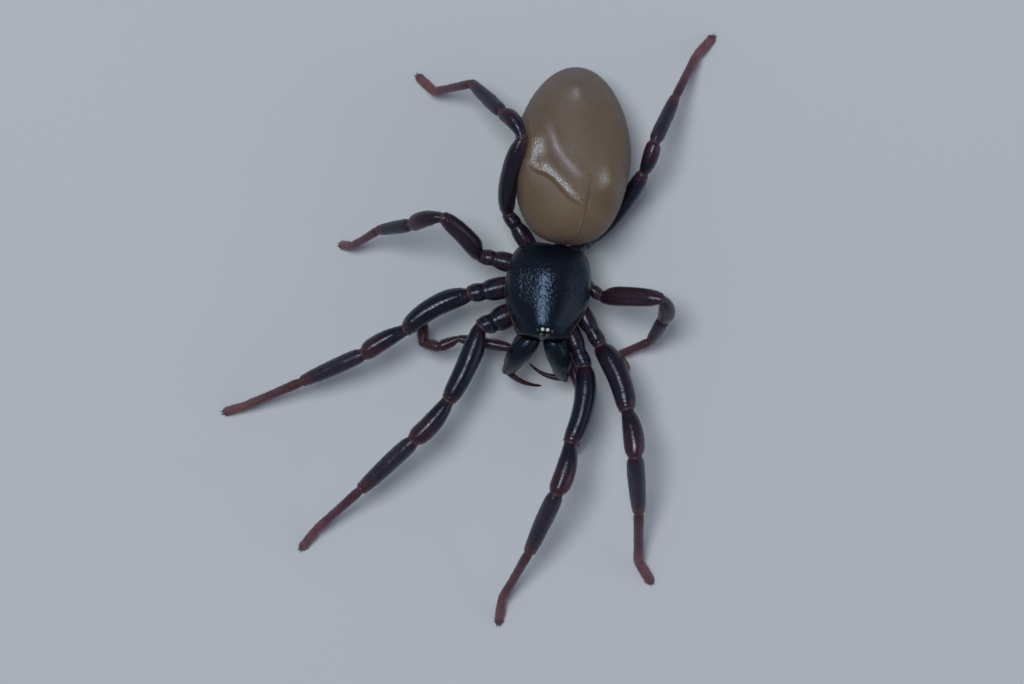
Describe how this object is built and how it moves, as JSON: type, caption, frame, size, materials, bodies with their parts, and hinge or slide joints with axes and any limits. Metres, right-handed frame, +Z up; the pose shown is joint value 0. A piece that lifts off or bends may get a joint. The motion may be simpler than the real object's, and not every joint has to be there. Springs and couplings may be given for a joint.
{
  "type": "dysdera nicaeensis spider, still life-size model",
  "caption": "Still life-size model of a woodlouse spider: dark glossy front body, swollen olive abdomen, open fangs and bent jointed legs, standing on its feet.",
  "frame": {"origin": "on the floor under the middle of the model's outline", "axes": "+Z up, -Y the way the spider faces, +X to the spider's left"},
  "size_m": [0.0218, 0.026, 0.0055],
  "materials": {
    "shell_black": "near-black chitin with a blue sheen, finely granular on the carapace, glossy on the legs",
    "shell_red": "glossy dark red-brown chitin with paler joints",
    "skin_olive": "satin olive-brown skin with soft folds and very fine hair",
    "eye_glass": "clear, strongly glossy small domes"
  },
  "bodies": {
    "root": {"carapace": "shell_black", "sternum": "shell_red", "pedicel": "shell_red", "abdomen": "skin_olive", "spinnerets": "skin_olive", "eye_front_L": "eye_glass", "eye_side_L": "eye_glass", "eye_rear_L": "eye_glass", "chelicera_L": "shell_black", "fang_L": "shell_red", "palp_upper_L": "shell_red", "palp_lower_L": "shell_red", "eye_front_R": "eye_glass", "eye_side_R": "eye_glass", "eye_rear_R": "eye_glass", "chelicera_R": "shell_black", "fang_R": "shell_red", "palp_upper_R": "shell_red", "palp_lower_R": "shell_red", "coxa_L1": "shell_red", "femur_L1": "shell_black", "patella_L1": "shell_red", "tibia_L1": "shell_black", "foot_L1": "shell_red", "coxa_L2": "shell_red", "femur_L2": "shell_black", "patella_L2": "shell_red", "tibia_L2": "shell_black", "foot_L2": "shell_red", "coxa_L3": "shell_red", "femur_L3": "shell_black", "patella_L3": "shell_red", "tibia_L3": "shell_black", "foot_L3": "shell_red", "coxa_L4": "shell_red", "femur_L4": "shell_black", "patella_L4": "shell_red", "tibia_L4": "shell_black", "foot_L4": "shell_red", "coxa_R1": "shell_red", "femur_R1": "shell_black", "patella_R1": "shell_red", "tibia_R1": "shell_black", "foot_R1": "shell_red", "coxa_R2": "shell_red", "femur_R2": "shell_black", "patella_R2": "shell_red", "tibia_R2": "shell_black", "foot_R2": "shell_red", "coxa_R3": "shell_red", "femur_R3": "shell_black", "patella_R3": "shell_red", "tibia_R3": "shell_black", "foot_R3": "shell_red", "coxa_R4": "shell_red", "femur_R4": "shell_black", "patella_R4": "shell_red", "tibia_R4": "shell_black", "foot_R4": "shell_red"}
  },
  "joints": []
}
